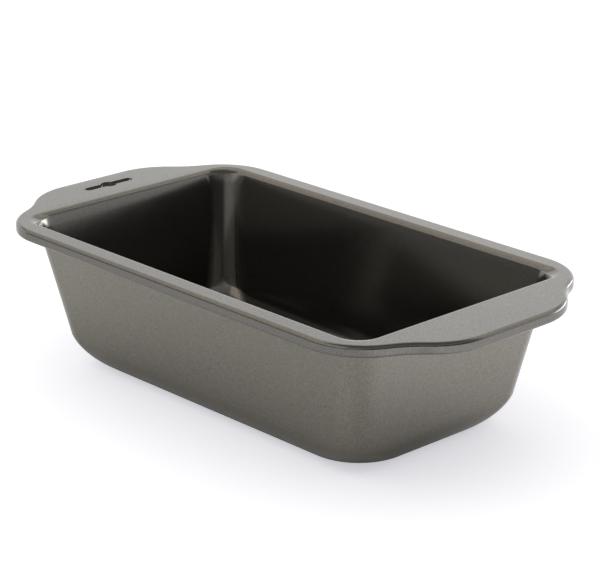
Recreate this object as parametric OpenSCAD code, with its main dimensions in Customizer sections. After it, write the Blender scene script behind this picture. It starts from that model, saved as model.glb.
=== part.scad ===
// Loaf pan, pressed from one blank of steel sheet: a tapered cavity with rounded corners, a flat flange that
// widens into a handle at each end, and an edge that is turned down and hemmed all round. Each side of the
// sheet carries a coating. Millimetres and degrees, origin on the table under the middle of the pan, X along it.

/* [Cavity] */
// Length of the opening, from crease to crease
opening_l = 228.6; // [200:0.1:300]
// Width of the opening, from crease to crease
opening_w = 131; // [110:0.1:160]
// Height of the flange's top above the table
pan_h = 71.7; // [55:0.1:90]
// Mean lean of the walls from upright
draft = 10.6; // [5:0.1:13]
// Change of a wall's lean from its top to its foot, as it bows in a little between them
wall_turn = 4.5; // [0:0.5:6]
// Inside radius of the four upright corners
wall_corner_r = 14.1; // [9:0.1:18]
// Inside radius of the bend between walls and floor
floor_bend_r = 16.6; // [10:0.1:20]
// Inside radius of the floor's corners, seen from above, where the floor is wide enough for it
floor_corner_r = 30.5; // [18:0.1:34]

/* [Rim] */
// Radius under the bend from the walls to the flange
rim_bend_r = 2; // [1:0.1:5]
// Radius of the flange's inner edge at the corners. Below the walls' own radius, it widens the rim bend there.
crease_corner_r = 10; // [9:0.1:18]
// Flat width of the flange on the long sides
flange_w = 6.8; // [5:0.1:12]
// Radius under the bend at the flange's outer edge
edge_bend_r = 0.8; // [0.4:0.1:4]
// Turn of that bend, from flat towards upright
edge_turn = 88; // [60:1:90]
// Straight depth of the turned edge above its hem
skirt_l = 2.2; // [1:0.1:5]
// Radius inside the hem
hem_bend_r = 0.25; // [0.15:0.05:0.5]
// Straight length of the hem's return
hem_return = 0.7; // [0.3:0.1:1]

/* [Handles] */
// Flat reach of a handle, from the crease to the edge bend
handle_reach = 26; // [24:0.1:40]
// Radius of the flange's outline at the pan's corners
rim_corner_r = 28.6; // [20:0.1:34]
// Turn of that corner, from the long side to the waist beside the handle
corner_turn = 65.5; // [58:0.5:72]
// Radius of the waist
waist_r = 44.2; // [10:0.1:60]
// Slant of a handle's sides, from the long side
handle_turn = 46; // [40:0.5:56]
// Straight length of a handle's slanted side
handle_side_l = 2.5; // [0.5:0.1:20]
// Radius of a handle's outer corners
handle_corner_r = 31.8; // [8:0.1:36]

/* [Hang slot] */
// Length of the slot
slot_l = 29.2; // [18:0.1:34]
// Width of the slot
slot_w = 4.2; // [3:0.1:6]
// Diameter of the round opening at the slot's middle
slot_eye_d = 7.6; // [6:0.1:12]
// Distance from the slot's middle line to the edge bend
slot_inset = 11.6; // [9:0.1:14]

/* [Sheet] */
// Thickness of the steel
steel_t = 0.8; // [0.5:0.05:1.2]
// Thickness of each coating
film_t = 0.1; // [0.06:0.01:0.2]

/* [Hidden] */

// Facets along each bend of the section and along each arc of the flange's outline
floor_steps = 6;
wall_steps = 4;
rim_steps = 4;
edge_steps = 3;
hem_steps = 5;
corner_steps = 5;
waist_steps = 2;
handle_steps = 4;
cut_margin = 5;

// Depth of each face of the sheet below the food side
sheet_t = steel_t + 2 * film_t;
food_face = 0;
steel_top = film_t;
steel_under = film_t + steel_t;
outer_face = sheet_t;

// Section through a wall: each bend's radius on the food side, and how far in from the crease it reaches
rim_r = rim_bend_r + sheet_t;
edge_r = edge_bend_r + sheet_t;
hem_r = hem_bend_r + sheet_t;
top_lean = draft + wall_turn / 2;
foot_lean = draft - wall_turn / 2;
wall_top_in = rim_r * cos(top_lean);
wall_drop = pan_h - sheet_t - rim_r * (1 - sin(top_lean)) - floor_bend_r * (1 - sin(foot_lean));
wall_bow = wall_drop / cos(draft) * tan(wall_turn / 2) / 4;
wall_foot = [wall_top_in + wall_drop * tan(draft), sheet_t + floor_bend_r * (1 - sin(foot_lean))];
floor_in = wall_foot.x + floor_bend_r * cos(foot_lean);
floor_r = min(floor_corner_r, opening_w / 2 - floor_in - 1);

// Section through the turned edge: distance out from the flat flange, and height
edge_centre = [0, pan_h - edge_r];
skirt_foot = edge_centre + edge_r * turned(edge_turn) + skirt_l * heading(edge_turn);
hem_centre = skirt_foot - hem_r * turned(edge_turn);
hem_end = edge_turn + 180;

// Plan of the flat flange's edge: arc centres of one quarter, worked back from the handle's end
handle_x = opening_l / 2 + handle_reach;
corner_run = rim_corner_r * turned(corner_turn);
waist_run = waist_r * (turned(corner_turn) - turned(handle_turn));
side_run = handle_side_l * heading(handle_turn);
tip_run = handle_corner_r * ([1, 0] - turned(handle_turn));
corner_centre = [
    handle_x - (corner_run + waist_run + side_run + tip_run).x,
    opening_w / 2 + flange_w - rim_corner_r
];
waist_centre = corner_centre + (rim_corner_r + waist_r) * turned(corner_turn);
side_start = waist_centre - waist_r * turned(handle_turn);
tip_centre = side_start + side_run - handle_corner_r * turned(handle_turn);

// Unit vectors after a turn: turned() points out of the curve, heading() along it
function turned(angle) = [sin(angle), cos(angle)];
function heading(angle) = [cos(angle), -sin(angle)];

// Evenly spaced angles, both ends included
function steps(from, to, count) = [for (i = [0 : count]) from + (to - from) * i / count];

// Points of an arc in the plan, each with its direction outwards. A negative radius bends inwards.
function arc_points(centre, r, angles) = [for (a = angles) [centre + r * turned(a), turned(a)]];

waist_angles = [for (i = [1 : waist_steps]) steps(corner_turn, handle_turn, waist_steps)[i]];
flange_quarter = concat(
    arc_points(corner_centre, rim_corner_r, steps(0, corner_turn, corner_steps)),
    arc_points(waist_centre, -waist_r, waist_angles),
    arc_points(tip_centre, handle_corner_r, steps(handle_turn, 90, handle_steps))
);
quarter_count = len(flange_quarter);
ring_count = 4 * quarter_count;
quarter_signs = [[1, 1], [-1, 1], [-1, -1], [1, -1]];

// A closed ring at height z, from the points of its first quarter, anticlockwise from above
function ring(quarter, z) = [
    for (s = quarter_signs)
        for (i = [0 : quarter_count - 1])
            let (p = quarter[s.x * s.y > 0 ? quarter_count - 1 - i : i])
                [s.x * p.x, s.y * p.y, z]
];

// Quarter of a rounded rectangle that lies this far in from the creases
function cavity_quarter(in, corner_r) = [
    for (angle = steps(0, 90, quarter_count - 1))
        [opening_l / 2, opening_w / 2] - [1, 1] * (in + corner_r) + corner_r * turned(angle)
];

// Quarter of the flange's outline, this far out from its flat edge
function rim_quarter(out) = [for (q = flange_quarter) q[0] + out * q[1]];

// The walls' corner radius grows evenly into that of the floor over the floor bend
function bend_corner_r(lean) =
    wall_corner_r + (floor_r - wall_corner_r) * (lean - foot_lean) / (90 - foot_lean);

// The walls' corner radius goes into that of the crease over the rim bend
function rim_bend_corner_r(lean) =
    crease_corner_r + (wall_corner_r - crease_corner_r) * sin(lean) / cos(top_lean);

// Ring of a wall at a share of the way up it. The sides bow in, and the corners tighten with them so that the
// line up each corner stays straight.
function wall_ring(share, depth) =
    let (
        lean = foot_lean + share * wall_turn,
        bow = 4 * wall_bow * share * (1 - share),
        in = wall_foot.x - share * wall_drop * tan(draft) + bow * cos(draft),
        z = wall_foot.y + share * wall_drop + bow * sin(draft),
        tighten = bow * cos(draft) * sqrt(2) / (sqrt(2) - 1)
    )
        ring(
            cavity_quarter(in - depth * cos(lean), wall_corner_r - tighten + depth * cos(lean)),
            z - depth * sin(lean)
        );

// Rings along one face of the sheet, from the floor up the wall, over the flange and round the hem
function face_rings(depth) = concat(
    [for (lean = steps(90, foot_lean, floor_steps))
        let (r = floor_bend_r + depth)
            ring(
                cavity_quarter(floor_in - r * cos(lean), bend_corner_r(lean) + depth * cos(lean)),
                sheet_t + floor_bend_r - r * sin(lean)
            )],
    [for (i = [1 : wall_steps - 1]) wall_ring(i / wall_steps, depth)],
    [for (lean = steps(90 - top_lean, 0, rim_steps))
        let (p = (rim_r - depth) * turned(lean))
            ring(
                cavity_quarter(p.x, rim_bend_corner_r(lean) + depth * sin(lean)),
                pan_h - rim_r + p.y
            )],
    [for (lean = steps(0, edge_turn, edge_steps))
        let (p = edge_centre + (edge_r - depth) * turned(lean))
            ring(rim_quarter(p.x), p.y)],
    [for (lean = steps(edge_turn, hem_end, hem_steps))
        let (p = hem_centre + (hem_r - depth) * turned(lean))
            ring(rim_quarter(p.x), p.y)],
    [let (p = hem_centre + (hem_r - depth) * turned(hem_end) + hem_return * heading(hem_end))
        ring(rim_quarter(p.x), p.y)]
);

function reversed(list) = [for (i = [len(list) - 1 : -1 : 0]) list[i]];

// One layer of the sheet between two depths: out along its upper face, back along its lower face
module drawn_layer(upper, lower) {
    rings = concat(face_rings(upper), reversed(face_rings(lower)));
    last_ring = len(rings) - 1;
    sides = [
        for (k = [0 : last_ring - 1])
            for (i = [0 : ring_count - 1])
                let (
                    near = k * ring_count,
                    far = near + ring_count,
                    next = (i + 1) % ring_count
                )
                    each [[near + i, near + next, far + next], [near + i, far + next, far + i]]
    ];
    floor_top = [for (i = [ring_count - 1 : -1 : 0]) i];
    floor_under = [for (i = [0 : ring_count - 1]) last_ring * ring_count + i];
    polyhedron(points = [for (r = rings) each r], faces = concat(sides, [floor_top, floor_under]));
}

// Pierced through the flange of one handle: a round-ended slot with a round eye at its middle
module hang_slot() {
    translate([slot_inset - handle_x, 0, pan_h - sheet_t - cut_margin])
        linear_extrude(sheet_t + 2 * cut_margin) {
            square([slot_w, slot_l - slot_w], center = true);
            for (side = [-1, 1])
                translate([0, side * (slot_l - slot_w) / 2])
                    circle(d = slot_w, $fn = 48);
            circle(d = slot_eye_d, $fn = 48);
        }
}

module pierced_layer(upper, lower) {
    difference() {
        drawn_layer(upper, lower);
        hang_slot();
    }
}

module steel_shell() {
    color("#b4b6b8")
        pierced_layer(steel_top, steel_under);
}

module release_coating() {
    color("#9c9b95")
        pierced_layer(food_face, steel_top);
}

module exterior_coating() {
    color("#77756f")
        pierced_layer(steel_under, outer_face);
}

steel_shell();
release_coating();
exterior_coating();
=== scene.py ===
import math

import bpy
import numpy as np
from mathutils import Matrix, Vector


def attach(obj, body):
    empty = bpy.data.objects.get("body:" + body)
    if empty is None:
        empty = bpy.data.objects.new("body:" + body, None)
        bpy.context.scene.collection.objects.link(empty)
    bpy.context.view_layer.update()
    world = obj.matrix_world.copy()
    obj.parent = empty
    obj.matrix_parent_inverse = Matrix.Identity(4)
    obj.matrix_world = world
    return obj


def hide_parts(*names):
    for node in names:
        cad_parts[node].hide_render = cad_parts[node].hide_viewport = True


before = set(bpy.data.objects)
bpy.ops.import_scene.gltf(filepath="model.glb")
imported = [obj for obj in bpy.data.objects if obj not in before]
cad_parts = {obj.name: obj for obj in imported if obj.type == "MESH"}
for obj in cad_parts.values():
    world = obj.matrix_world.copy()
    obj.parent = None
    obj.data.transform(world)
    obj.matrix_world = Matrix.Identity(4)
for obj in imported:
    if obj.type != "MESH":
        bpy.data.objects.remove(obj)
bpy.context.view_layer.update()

# Sizes of the pressed sheet in millimetres and degrees, the same as the solids have
MM = 0.001
OPENING_L = 228.6
OPENING_W = 131.0
PAN_H = 71.7
DRAFT = 10.6
WALL_TURN = 4.5
WALL_CORNER_R = 14.1
FLOOR_BEND_R = 16.6
FLOOR_CORNER_R = 30.5
RIM_BEND_R = 2.0
CREASE_CORNER_R = 10.0
FLANGE_W = 6.8
EDGE_BEND_R = 0.8
EDGE_TURN = 88.0
SKIRT_L = 2.2
HEM_BEND_R = 0.25
HEM_RETURN = 0.7
HANDLE_REACH = 26.0
RIM_CORNER_R = 28.6
CORNER_TURN = 65.5
WAIST_R = 44.2
HANDLE_TURN = 46.0
HANDLE_SIDE_L = 2.5
HANDLE_CORNER_R = 31.8
SLOT_L = 29.2
SLOT_W = 4.2
SLOT_EYE_D = 7.6
SLOT_INSET = 11.6
STEEL_T = 0.8
FILM_T = 0.1
# Drop below the sheet of the lip that is turned down round the slot, where the solids have a plain cut
SLOT_LIP = 1.4


def turned(angle):
    """Unit vector that points out of a curve once it has turned by an angle: its sine, then its cosine."""
    angle = np.radians(angle)
    return np.stack([np.sin(angle), np.cos(angle)], -1)


def heading(angle):
    """Unit vector along a curve once it has turned by an angle: its cosine, then minus its sine."""
    angle = np.radians(angle)
    return np.stack([np.cos(angle), -np.sin(angle)], -1)


# Depth of each face of the sheet below the food side
SHEET_T = STEEL_T + 2 * FILM_T
FOOD_FACE = 0.0
STEEL_TOP = FILM_T
STEEL_UNDER = FILM_T + STEEL_T

# Bend radii on the food side
RIM_R = RIM_BEND_R + SHEET_T
EDGE_R = EDGE_BEND_R + SHEET_T
HEM_R = HEM_BEND_R + SHEET_T

# Section of a wall: its lean at the top and foot, its height and run, and how far it bows in from straight
TOP_LEAN = DRAFT + WALL_TURN / 2
FOOT_LEAN = DRAFT - WALL_TURN / 2
TOP_SIN, TOP_COS = turned(TOP_LEAN)
FOOT_SIN, FOOT_COS = turned(FOOT_LEAN)
MEAN_SIN, MEAN_COS = turned(DRAFT)
WALL_TOP_IN = RIM_R * TOP_COS
WALL_DROP = PAN_H - SHEET_T - RIM_R * (1 - TOP_SIN) - FLOOR_BEND_R * (1 - FOOT_SIN)
WALL_RUN = WALL_DROP * MEAN_SIN / MEAN_COS
WALL_BOW = WALL_DROP / MEAN_COS * math.tan(math.radians(WALL_TURN / 2)) / 4
FOOT_IN = WALL_TOP_IN + WALL_RUN
FOOT_Z = SHEET_T + FLOOR_BEND_R * (1 - FOOT_SIN)
FLOOR_IN = FOOT_IN + FLOOR_BEND_R * FOOT_COS
# Change of a corner's radius, per depth of bow, that keeps the line up the corner straight
TIGHTEN = math.sqrt(2) / (math.sqrt(2) - 1)
HANDLE_X = OPENING_L / 2 + HANDLE_REACH
SLOT_X = SLOT_INSET - HANDLE_X

# Steps along each bend of the section, each arc of the plan and each stretch of the slot
FLOOR_STEPS = 20
WALL_STEPS = 12
RIM_STEPS = 12
EDGE_STEPS = 10
HEM_STEPS = 16
CORNER_STEPS = 18
WAIST_STEPS = 8
TIP_STEPS = 14
SLOT_SIDE_STEPS = 6
EYE_STEPS = 14
END_STEPS = 2 * SLOT_SIDE_STEPS + EYE_STEPS
# Shares of a flat stretch at which extra rings keep its shading flat
FLOOR_SHARES = (0.3, 0.7, 0.97)
FLAT_SHARES = (0.02, 0.35, 0.65, 0.98)
SLOT_SHARES = (0, 0.06, 0.5)
SHARP_ANGLE = 40.0


def flange_quarter():
    """Quarter of the flat flange's edge, as points and the directions out of them.

    An arc round the pan's corner, an arc the other way for the waist, a straight slanted side and an arc at
    the handle's tip, laid end to end and moved so that the last point lies on the handle's end.
    """
    corner = np.linspace(0, CORNER_TURN, CORNER_STEPS + 1)
    waist = np.linspace(CORNER_TURN, HANDLE_TURN, WAIST_STEPS + 1)[1:]
    tip = np.linspace(HANDLE_TURN, 90, TIP_STEPS + 1)
    corner_points = RIM_CORNER_R * (turned(corner) - turned(0.0))
    waist_points = corner_points[-1] + WAIST_R * (turned(CORNER_TURN) - turned(waist))
    tip_start = waist_points[-1] + HANDLE_SIDE_L * heading(HANDLE_TURN)
    tip_points = tip_start + HANDLE_CORNER_R * (turned(tip) - turned(HANDLE_TURN))
    points = np.concatenate([corner_points, waist_points, tip_points])
    start = np.array([HANDLE_X - points[-1, 0], OPENING_W / 2 + FLANGE_W])
    return start + points, turned(np.concatenate([corner, waist, tip]))


EDGE_POINTS, EDGE_OUT = flange_quarter()
QUARTER = len(EDGE_POINTS)


def around(quarter):
    """Closed plan ring, anticlockwise: four mirrored quarters, with the slotted end divided evenly."""
    corners = [quarter[::-1], quarter * [-1, 1], quarter[::-1] * [-1, -1], quarter * [1, -1]]
    share = np.linspace(0, 1, END_STEPS + 1)[1:-1, None]
    slotted_end = corners[1][-1] + share * (corners[2][0] - corners[1][-1])
    return np.concatenate([corners[0], corners[1], slotted_end, corners[2], corners[3]])


RING = 4 * QUARTER + END_STEPS - 1
END_FIRST = 2 * QUARTER - 1


def lifted(plan, height):
    """Plan ring at a height."""
    return np.column_stack([plan, np.full(len(plan), height)])


def cavity_ring(inset, corner_r, height):
    """Rounded rectangle that lies this far in from the creases, at a height."""
    arc = corner_r * turned(np.linspace(0, 90, QUARTER))
    centre = np.array([OPENING_L, OPENING_W]) / 2 - inset - corner_r
    return lifted(around(centre + arc), height)


def rim_ring(point):
    """Flange outline moved out by the section point's first value, at the height of its second."""
    return lifted(around(EDGE_POINTS + point[0] * EDGE_OUT), point[1])


def between(first, last, shares):
    """Rings spread between two rings at the given shares of the way."""
    return [first + share * (last - first) for share in shares]


def sheet_face(depth):
    """One face of the sheet as rings from the floor to the hem, and the row numbers of the flat flange.

    The section is carried round the plan: floor, floor bend, leaning wall, rim bend, flat flange, edge bend,
    short skirt, hem and its return. Depth is measured into the sheet from the food side, so each bend's
    radius grows or shrinks by it. The wall bows in by four times its bow, times the share of the way up it,
    times the share that is left. The corner radius goes from the floor's to the wall's over the floor bend,
    and from the wall's to the crease's over the rim bend.
    """
    rings = []
    bend_r = FLOOR_BEND_R + depth
    for lean in np.linspace(90, FOOT_LEAN, FLOOR_STEPS + 1):
        upright, level = turned(lean)
        share = (lean - FOOT_LEAN) / (90 - FOOT_LEAN)
        corner_r = WALL_CORNER_R + (FLOOR_CORNER_R - WALL_CORNER_R) * share + depth * level
        height = SHEET_T + FLOOR_BEND_R - bend_r * upright
        rings.append(cavity_ring(FLOOR_IN - bend_r * level, corner_r, height))
    floor_edge = rings[0]
    floor = [floor_edge * [share, share, 1] for share in FLOOR_SHARES]
    wall = []
    for share in np.linspace(0, 1, WALL_STEPS + 1)[1:-1]:
        upright, level = turned(FOOT_LEAN + share * WALL_TURN)
        bow = 4 * WALL_BOW * share * (1 - share)
        inset = FOOT_IN - share * WALL_RUN + bow * MEAN_COS - depth * level
        corner_r = WALL_CORNER_R - TIGHTEN * bow * MEAN_COS + depth * level
        height = FOOT_Z + share * WALL_DROP + bow * MEAN_SIN - depth * upright
        wall.append(cavity_ring(inset, corner_r, height))
    rim = []
    for lean in np.linspace(90 - TOP_LEAN, 0, RIM_STEPS + 1):
        across, up = turned(lean)
        corner_r = CREASE_CORNER_R + (WALL_CORNER_R - CREASE_CORNER_R) * across / TOP_COS + depth * across
        rim.append(cavity_ring((RIM_R - depth) * across, corner_r, PAN_H - RIM_R + (RIM_R - depth) * up))
    edge_centre = np.array([0, PAN_H - EDGE_R])
    edge = [
        rim_ring(edge_centre + (EDGE_R - depth) * turned(lean))
        for lean in np.linspace(0, EDGE_TURN, EDGE_STEPS + 1)
    ]
    skirt_foot = edge_centre + EDGE_R * turned(EDGE_TURN) + SKIRT_L * heading(EDGE_TURN)
    hem_centre = skirt_foot - HEM_R * turned(EDGE_TURN)
    hem_end = EDGE_TURN + 180
    hem = [
        rim_ring(hem_centre + (HEM_R - depth) * turned(lean))
        for lean in np.linspace(EDGE_TURN, hem_end, HEM_STEPS + 1)
    ]
    hem_tip = hem_centre + (HEM_R - depth) * turned(hem_end) + HEM_RETURN * heading(hem_end)
    flange = between(rim[-1], edge[0], FLAT_SHARES)
    rows = floor + rings + wall + rim
    flange_first = len(rows) - 1
    rows += flange
    flange_last = len(rows)
    rows += edge + hem + [rim_ring(hem_tip)]
    return np.array(rows), flange_first, flange_last


def slot_loop(depth, end_steps):
    """Outline of the slot on a face of the sheet at a depth, anticlockwise from its north-west corner.

    Each long side is straight, then follows the eye's circle, then is straight again, and half circles close
    the ends. The sheet turns down here, so the outline lies further out by the depth.
    """
    half_w, half_l, eye_r = SLOT_W / 2 + depth, (SLOT_L - SLOT_W) / 2, SLOT_EYE_D / 2 + depth
    eye_angle = math.degrees(math.acos(half_w / eye_r))
    eye_y = eye_r * math.sin(math.radians(eye_angle))
    straight = np.linspace(half_l, eye_y, SLOT_SIDE_STEPS + 1)[:-1]
    eye = np.radians(np.linspace(eye_angle, -eye_angle, EYE_STEPS + 1))
    side_y = np.concatenate([straight, eye_r * np.sin(eye), -straight[::-1]])
    straight_x = np.full(len(straight), half_w)
    side_x = np.concatenate([straight_x, eye_r * np.cos(eye), straight_x])
    west = np.column_stack([-side_x, side_y])
    turn = np.linspace(-90, 90, end_steps + 1)
    south = np.array([0, -half_l]) + half_w * turned(turn) * [1, -1]
    loop = np.concatenate([west[:-1], south[:-1], -west[:-1], -south[:-1]])
    return lifted(loop + [SLOT_X, 0], PAN_H - depth)


def grid_faces(rows, columns):
    """Quads between neighbouring rows of a grid of vertex numbers whose last column meets its first."""
    near, far = rows[:-1], rows[1:]
    quads = np.stack([near, far, np.roll(far, -1, 1), np.roll(near, -1, 1)], -1)
    return quads[:, columns].reshape(-1, 4)


def pressed_layer(name, upper, lower):
    """One layer of the pressed sheet between two depths, as a closed mesh pierced by the hang slot.

    Both faces are grids of rings. The flat flange beside the slot is left out of each grid and filled by a
    second grid, whose rings run from the foot of the slot's turned-down lip, up it and out to the border of
    what was left out.
    """
    points, faces = [], []
    offset = 0
    last_rows, slot_rows = [], []
    for depth, outward in ((upper, True), (lower, False)):
        rings, flange_first, flange_last = sheet_face(depth)
        numbers = offset + np.arange(len(rings) * RING).reshape(len(rings), RING)
        centre = offset + rings.shape[0] * RING
        spokes = np.stack([np.full(RING, centre), numbers[0], np.roll(numbers[0], -1)], -1)
        every = np.arange(RING)
        beside_slot = (every >= END_FIRST) & (every < END_FIRST + END_STEPS)
        quads = np.concatenate([
            grid_faces(numbers[:flange_first + 1], every),
            grid_faces(numbers[flange_first:flange_last + 1], every[~beside_slot]),
            grid_faces(numbers[flange_last:], every),
        ])
        west, east = END_FIRST, END_FIRST + END_STEPS
        flat = numbers[flange_first:flange_last + 1]
        border = np.concatenate([
            flat[-1, west:east],
            flat[:0:-1, east],
            flat[0, east:west:-1],
            flat[:-1, west],
        ])
        slot = slot_loop(depth, flange_last - flange_first)
        lip = lifted(slot[:, :2], PAN_H - SHEET_T - SLOT_LIP)
        rim = rings.reshape(-1, 3)[border - offset]
        inner = [lip] + between(slot, rim, SLOT_SHARES)
        inner_numbers = centre + 1 + np.arange(len(inner) * len(border)).reshape(len(inner), -1)
        patch = grid_faces(np.vstack([inner_numbers, border]), np.arange(len(border)))
        points += [rings.reshape(-1, 3), rings[0].mean(0)[None], np.concatenate(inner)]
        for part in (spokes, quads, patch):
            faces += (part if outward else part[:, ::-1]).tolist()
        last_rows.append(numbers[-1])
        slot_rows.append(inner_numbers[0])
        offset = inner_numbers.max() + 1
    faces += grid_faces(np.array(last_rows), np.arange(RING)).tolist()
    faces += grid_faces(np.array(slot_rows)[::-1], np.arange(len(slot_rows[0]))).tolist()
    mesh = bpy.data.meshes.new(name)
    mesh.from_pydata((np.concatenate(points) * MM).tolist(), [], faces)
    mesh.polygons.foreach_set("use_smooth", np.ones(len(mesh.polygons), bool))
    mesh.set_sharp_from_angle(angle=math.radians(SHARP_ANGLE))
    mesh.update()
    piece = bpy.data.objects.new(name, mesh)
    bpy.context.scene.collection.objects.link(piece)
    return piece


def linear(hex_colour):
    """Linear colour, with alpha, of an sRGB hex value."""
    channels = [int(hex_colour[i:i + 2], 16) / 255 for i in (1, 3, 5)]
    return [c / 12.92 if c <= 0.04045 else ((c + 0.055) / 1.055) ** 2.4 for c in channels] + [1.0]


def add(tree, kind, inputs=(), **settings):
    """Adds a node of a kind, sets its properties, and sets or links its inputs by name or number."""
    made = tree.nodes.new(kind)
    for key, value in settings.items():
        setattr(made, key, value)
    for key, value in dict(inputs).items():
        if isinstance(value, bpy.types.NodeSocket):
            tree.links.new(value, made.inputs[key])
        else:
            made.inputs[key].default_value = value
    return made


def empty_material(name):
    """New material with only an output node, and its node tree."""
    material = bpy.data.materials.new(name)
    material.use_nodes = True
    material.node_tree.nodes.clear()
    return material, material.node_tree


def per_mm(size):
    """Texture scale, on coordinates in metres, of a pattern with this spacing in millimetres."""
    return 1 / (size * MM)


# Sockets for the two colours and the result of a Mix node, which has several of each name
MIX_FROM, MIX_TO, MIXED = 6, 7, 2
# Share of a film that is metallic pigment. The rest is binder, which scatters a little light.
PIGMENT_SHARE = 0.98
# Noise keeps mostly to this range, which is stretched to the whole of its effect
NOISE_RANGE = (0.3, 0.7)
# Spacing of the slow changes of gloss over a film, in millimetres, and how far its roughness goes either way
CLOUD_MM = 40
GLOSS_DRIFT = 0.02
# Spacing of the shear lines on a cut edge in millimetres, coarser than real ones so that they show
SHEAR_LINE_MM = 0.3
GRAIN_DEPTH = 0.02 * MM


def coating_material(name, dark, light, roughness, flake_mm, flake_bump):
    """Baked film with metallic pigment: satin, with fine flakes that vary in tone and tilt a little.

    Real flakes are far finer than the given spacing, which is as coarse as they need to show.
    """
    material, tree = empty_material(name)
    place = add(tree, "ShaderNodeTexCoord").outputs["Object"]
    flakes = add(tree, "ShaderNodeTexNoise", {"Vector": place, "Scale": per_mm(flake_mm), "Detail": 2.0})
    clouds = add(tree, "ShaderNodeTexNoise", {"Vector": place, "Scale": per_mm(CLOUD_MM), "Detail": 3.0})
    tone = add(tree, "ShaderNodeMapRange", {
        "Value": flakes.outputs["Fac"], "From Min": NOISE_RANGE[0], "From Max": NOISE_RANGE[1]})
    colour = add(tree, "ShaderNodeMix", {
        "Factor": tone.outputs["Result"], MIX_FROM: linear(dark), MIX_TO: linear(light)}, data_type="RGBA")
    gloss = add(tree, "ShaderNodeMapRange", {
        "Value": clouds.outputs["Fac"], "From Min": NOISE_RANGE[0], "From Max": NOISE_RANGE[1],
        "To Min": roughness - GLOSS_DRIFT, "To Max": roughness + GLOSS_DRIFT})
    bump = add(tree, "ShaderNodeBump", {
        "Height": flakes.outputs["Fac"], "Strength": flake_bump, "Distance": GRAIN_DEPTH})
    shader = add(tree, "ShaderNodeBsdfPrincipled", {
        "Base Color": colour.outputs[MIXED], "Metallic": PIGMENT_SHARE, "Roughness": gloss.outputs["Result"],
        "Normal": bump.outputs["Normal"]})
    add(tree, "ShaderNodeOutputMaterial", {"Surface": shader.outputs["BSDF"]})
    return material


def steel_material():
    """Cold-rolled steel where the blank was sheared: bright, with fine upright shear lines."""
    material, tree = empty_material("sheared_cold_rolled_steel")
    place = add(tree, "ShaderNodeTexCoord").outputs["Object"]
    stretched = add(tree, "ShaderNodeMapping", {"Vector": place, "Scale": (1, 1, 0.1)})
    lines = add(tree, "ShaderNodeTexNoise", {
        "Vector": stretched.outputs["Vector"], "Scale": per_mm(SHEAR_LINE_MM), "Detail": 2.0})
    gloss = add(tree, "ShaderNodeMapRange", {"Value": lines.outputs["Fac"], "To Min": 0.25, "To Max": 0.5})
    bump = add(tree, "ShaderNodeBump", {
        "Height": lines.outputs["Fac"], "Strength": 0.3, "Distance": GRAIN_DEPTH})
    shader = add(tree, "ShaderNodeBsdfPrincipled", {
        "Base Color": linear("#b9bbbd"), "Metallic": 1.0, "Roughness": gloss.outputs["Result"],
        "Normal": bump.outputs["Normal"]})
    add(tree, "ShaderNodeOutputMaterial", {"Surface": shader.outputs["BSDF"]})
    return material


# The floor: sizes in metres, colours, and the lift to white for the camera
FLOOR_HALF = 4.0
FLOOR_GAP = 0.0001
PAPER_COLOUR = "#d9d9d9"
PAPER_GLOW = "#f8f8ff"
FLOOR_LIFT = 0.53
# Painted pool of light on the mirrored floor: its glow away from and towards the azimuth of the lit side,
# # and the distances between them
PAINTED_LIGHT_LIFT = (0.0, 0.3)
PAINTED_LIGHT_AZIMUTH = 45.0
PAINTED_LIGHT_EDGES = (0.05, 0.13)
# Glow that the mirrored floor gains clear of the pan's foot, which leaves a painted shadow round the foot,
# # and the distances over which it does
PAINTED_FOOT_SHADE_LIFT = 0.2
PAINTED_FOOT_SHADE_EDGES = (0.01, 0.07)

# Light of the dome away from and towards the azimuth of its brighter side
DOME_LIGHT = (0.6, 1.4)
DOME_AZIMUTH = 180.0

# What the metal mirrors of the room. Each panel has a name, its middle azimuth and half width, its lowest and
# highest elevation and the softness of its edges, all in degrees, then a colour and a glow. It lies over the
# panels before it.
ROOM_COLOUR = "#868686"
PANELS = (
    ("upper camera side", -11, 77, 19, 57, 8, "#a2a2a2", 1.0),
    ("lower camera side", -11, 77, -90, 19, 8, "#404040", 1.0),
    ("camera side light", -66, 18, 8, 32, 14, "#d0d0d0", 1.0),
    ("backdrop", 126, 86, -90, 27, 5, "#ffffff", 1.09),
    ("side wall", 40, 14, -90, 18, 5, "#dcdcdc", 1.0),
    ("left softbox", 176, 29, 31, 63, 5, "#f7f0e6", 1.1),
    ("front left softbox", 245, 40, 16, 60, 4, "#f7f0e6", 1.0),
    ("rear softbox", 103, 48, 31, 55.5, 6, "#fffaf0", 1.05),
    ("lit backdrop", 95, 42, -90, 22, 6, "#ffffff", 1.3),
    ("rear lamp", 82, 18, -90, 8, 5, "#ffffff", 7.0),
)

# The camera, in degrees, metres and pixels, with its sensor's width in millimetres
CAMERA_AZIMUTH = -43.06
CAMERA_ELEVATION = 19.71
CAMERA_ROLL = -0.05
CAMERA_DISTANCE = 0.9991
CAMERA_TARGET = (0.05017, -0.03757, PAN_H * MM)
FOCAL_PIXELS = 2317.1
IMAGE_W = 600
SENSOR_W = 36.0


def direction(azimuth, elevation):
    """Unit vector towards a compass direction, from +X towards +Y, and a height above the horizon."""
    azimuth, elevation = math.radians(azimuth), math.radians(elevation)
    return Vector((
        math.cos(elevation) * math.cos(azimuth),
        math.cos(elevation) * math.sin(azimuth),
        math.sin(elevation),
    ))


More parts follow.
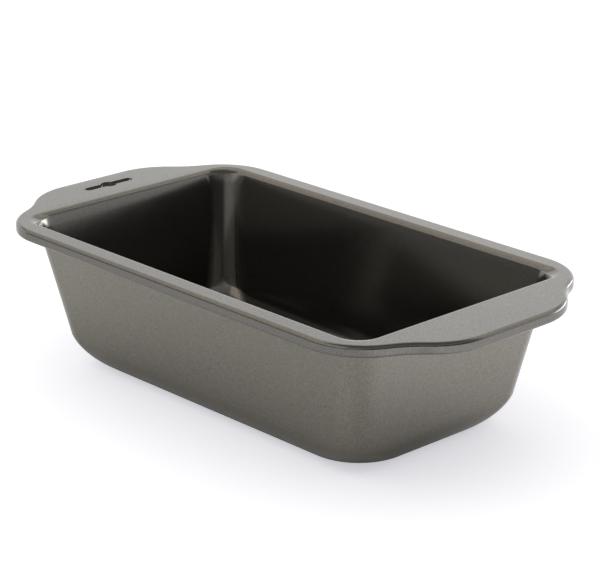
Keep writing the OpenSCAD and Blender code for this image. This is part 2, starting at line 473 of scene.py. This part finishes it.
def floor_material():
    """White paper sweep: matt, and lifted to white for the camera.

    What the metal mirrors of it is lifted less, with painted light and shade: a glow that paints a pool of
    light towards one side and fades out near the pan's foot, which paints a shadow round it.
    """
    material, tree = empty_material("white_paper_floor")
    path = add(tree, "ShaderNodeLightPath").outputs
    place = add(tree, "ShaderNodeTexCoord").outputs["Object"]
    # Painted pool of light: what the metal mirrors of the floor glows more towards one side
    side = add(tree, "ShaderNodeVectorMath", {
        0: place, 1: direction(PAINTED_LIGHT_AZIMUTH, 0)}, operation="DOT_PRODUCT")
    painted_light = add(tree, "ShaderNodeMapRange", {
        "Value": side.outputs["Value"], "From Min": PAINTED_LIGHT_EDGES[0], "From Max": PAINTED_LIGHT_EDGES[1],
        "To Min": PAINTED_LIGHT_LIFT[0], "To Max": PAINTED_LIGHT_LIFT[1]}, interpolation_type="SMOOTHSTEP")
    # Painted shadow round the pan's foot: the mirrored floor's glow fades out close to it
    foot = ((OPENING_L / 2 - FLOOR_IN) * MM, (OPENING_W / 2 - FLOOR_IN) * MM, 0)
    apart = add(tree, "ShaderNodeVectorMath", {0: place}, operation="ABSOLUTE")
    apart = add(tree, "ShaderNodeVectorMath", {0: apart.outputs[0], 1: foot}, operation="SUBTRACT")
    apart = add(tree, "ShaderNodeSeparateXYZ", {0: apart.outputs[0]}).outputs
    apart = add(tree, "ShaderNodeMath", {0: apart["X"], 1: apart["Y"]}, operation="MAXIMUM")
    clear = add(tree, "ShaderNodeMapRange", {
        "Value": apart.outputs[0], "From Min": PAINTED_FOOT_SHADE_EDGES[0], "From Max": PAINTED_FOOT_SHADE_EDGES[1],
        "To Max": PAINTED_FOOT_SHADE_LIFT}, interpolation_type="SMOOTHSTEP")
    # Sum of the painted pool of light and the glow clear of the painted shadow, seen only by mirrored rays
    painted_light_and_shade = add(tree, "ShaderNodeMath", {
        0: painted_light.outputs["Result"], 1: clear.outputs["Result"]}, operation="ADD")
    mirrored = add(tree, "ShaderNodeMath", {
        0: path["Is Glossy Ray"], 1: path["Is Transmission Ray"]}, operation="MAXIMUM")
    mirrored = add(tree, "ShaderNodeMath", {
        0: mirrored.outputs[0], 1: painted_light_and_shade.outputs[0]}, operation="MULTIPLY")
    lift = add(tree, "ShaderNodeMath", {
        0: path["Is Camera Ray"], 1: FLOOR_LIFT, 2: mirrored.outputs[0]}, operation="MULTIPLY_ADD")
    paper = add(tree, "ShaderNodeBsdfDiffuse", {"Color": linear(PAPER_COLOUR)})
    glow = add(tree, "ShaderNodeEmission", {"Color": linear(PAPER_GLOW), "Strength": lift.outputs[0]})
    both = add(tree, "ShaderNodeAddShader", {0: paper.outputs[0], 1: glow.outputs[0]})
    add(tree, "ShaderNodeOutputMaterial", {"Surface": both.outputs[0]})
    return material


def make_floor():
    """Level square that reaches past every view, a hair below the pan so that the two never share a plane."""
    corners = np.array([[-1, -1, 0], [1, -1, 0], [1, 1, 0], [-1, 1, 0]]) * FLOOR_HALF - [0, 0, FLOOR_GAP]
    mesh = bpy.data.meshes.new("floor")
    mesh.from_pydata(corners.tolist(), [], [[0, 1, 2, 3]])
    floor = bpy.data.objects.new("floor", mesh)
    bpy.context.scene.collection.objects.link(floor)
    mesh.materials.append(floor_material())


def sine(elevation):
    """Sine of an elevation in degrees, and a value past every sine from the zenith or the nadir on."""
    return math.sin(math.radians(elevation)) if abs(elevation) < 90 else math.copysign(2, elevation)


def make_world():
    """White dome as light, brighter on one side, and for the metal to mirror, a dim room with soft panels.

    A panel's share is the product of three smooth steps: across its width, above its foot and below its top.
    """
    world = bpy.data.worlds.new("studio")
    bpy.context.scene.world = world
    world.use_nodes = True
    tree = world.node_tree
    tree.nodes.clear()
    path = add(tree, "ShaderNodeLightPath").outputs
    ray = add(tree, "ShaderNodeTexCoord").outputs["Generated"]
    rise = add(tree, "ShaderNodeSeparateXYZ", {0: ray}).outputs["Z"]
    level = add(tree, "ShaderNodeVectorMath", {0: ray, 1: (1, 1, 0)}, operation="MULTIPLY")
    level = add(tree, "ShaderNodeVectorMath", {0: level.outputs[0]}, operation="NORMALIZE")
    room = linear(ROOM_COLOUR)
    for name, azimuth, half_width, lowest, highest, soft, colour, glow in PANELS:
        facing = add(tree, "ShaderNodeVectorMath", {
            0: level.outputs[0], 1: direction(azimuth, 0)}, operation="DOT_PRODUCT").outputs["Value"]
        outer, inner = math.radians(half_width + soft), math.radians(half_width - soft)
        edges = (
            (facing, math.cos(outer), math.cos(inner)),
            (rise, sine(lowest - soft), sine(lowest + soft)),
            (rise, sine(highest + soft), sine(highest - soft)),
        )
        share = 1.0
        for value, start, end in edges:
            share = add(tree, "ShaderNodeMapRange", {
                "Value": value, "From Min": start, "From Max": end, "To Max": share},
                interpolation_type="SMOOTHSTEP").outputs["Result"]
        shine = [channel * glow for channel in linear(colour)[:3]] + [1.0]
        room = add(tree, "ShaderNodeMix", {
            "Factor": share, MIX_FROM: room, MIX_TO: shine}, data_type="RGBA", label=name).outputs[MIXED]
    side = add(tree, "ShaderNodeVectorMath", {
        0: ray, 1: direction(DOME_AZIMUTH, 0)}, operation="DOT_PRODUCT")
    dome = add(tree, "ShaderNodeMapRange", {
        "Value": side.outputs["Value"], "From Min": -1.0, "To Min": DOME_LIGHT[0], "To Max": DOME_LIGHT[1]})
    light = add(tree, "ShaderNodeMix", {
        "Factor": path["Is Glossy Ray"], MIX_FROM: dome.outputs["Result"], MIX_TO: room}, data_type="RGBA")
    seen = add(tree, "ShaderNodeMix", {
        "Factor": path["Is Camera Ray"], MIX_FROM: light.outputs[MIXED], MIX_TO: linear("#ffffff")},
        data_type="RGBA")
    sky = add(tree, "ShaderNodeBackground", {"Color": seen.outputs[MIXED], "Strength": 1.0})
    add(tree, "ShaderNodeOutputWorld", {"Surface": sky.outputs[0]})


def make_camera():
    """Camera at the photograph's viewing angle, turned a little about its own line of sight."""
    camera = bpy.data.cameras.new("camera")
    camera.sensor_width = SENSOR_W
    camera.lens = FOCAL_PIXELS * SENSOR_W / IMAGE_W
    holder = bpy.data.objects.new("camera", camera)
    back = direction(CAMERA_AZIMUTH, CAMERA_ELEVATION)
    side = Vector((0, 0, 1)).cross(back).normalized()
    upright = back.cross(side)
    roll = math.radians(CAMERA_ROLL)
    right = side * math.cos(roll) + upright * math.sin(roll)
    up = upright * math.cos(roll) - side * math.sin(roll)
    turn = Matrix((right, up, back)).transposed()
    place = Vector(CAMERA_TARGET) + back * CAMERA_DISTANCE
    holder.matrix_world = Matrix.Translation(place) @ turn.to_4x4()
    bpy.context.scene.collection.objects.link(holder)
    bpy.context.scene.camera = holder


make_floor()
make_world()
make_camera()
bpy.context.scene.view_settings.view_transform = "Standard"

# The three layers of the sheet, each on its own node. The food side is smoother and mirrors its surroundings
# softly. The outside is grainier and only shows their broad light and dark.
release_film = coating_material("satin_release_film", "#6e6b67", "#7f7d78", 0.16, 0.7, 0.3)
exterior_film = coating_material("satin_exterior_film", "#7d7971", "#918d84", 0.22, 0.8, 0.4)
LAYERS = (
    ("release_coating", FOOD_FACE, STEEL_TOP, "release_film", release_film),
    ("steel_shell", STEEL_TOP, STEEL_UNDER, "steel_sheet", steel_material()),
    ("exterior_coating", STEEL_UNDER, SHEET_T, "exterior_film", exterior_film),
)
for node, upper, lower, slot, finish in LAYERS:
    piece = pressed_layer("pressed_" + node, upper, lower)
    piece.data.materials.append(finish)
    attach(piece, "root")
    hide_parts(node)
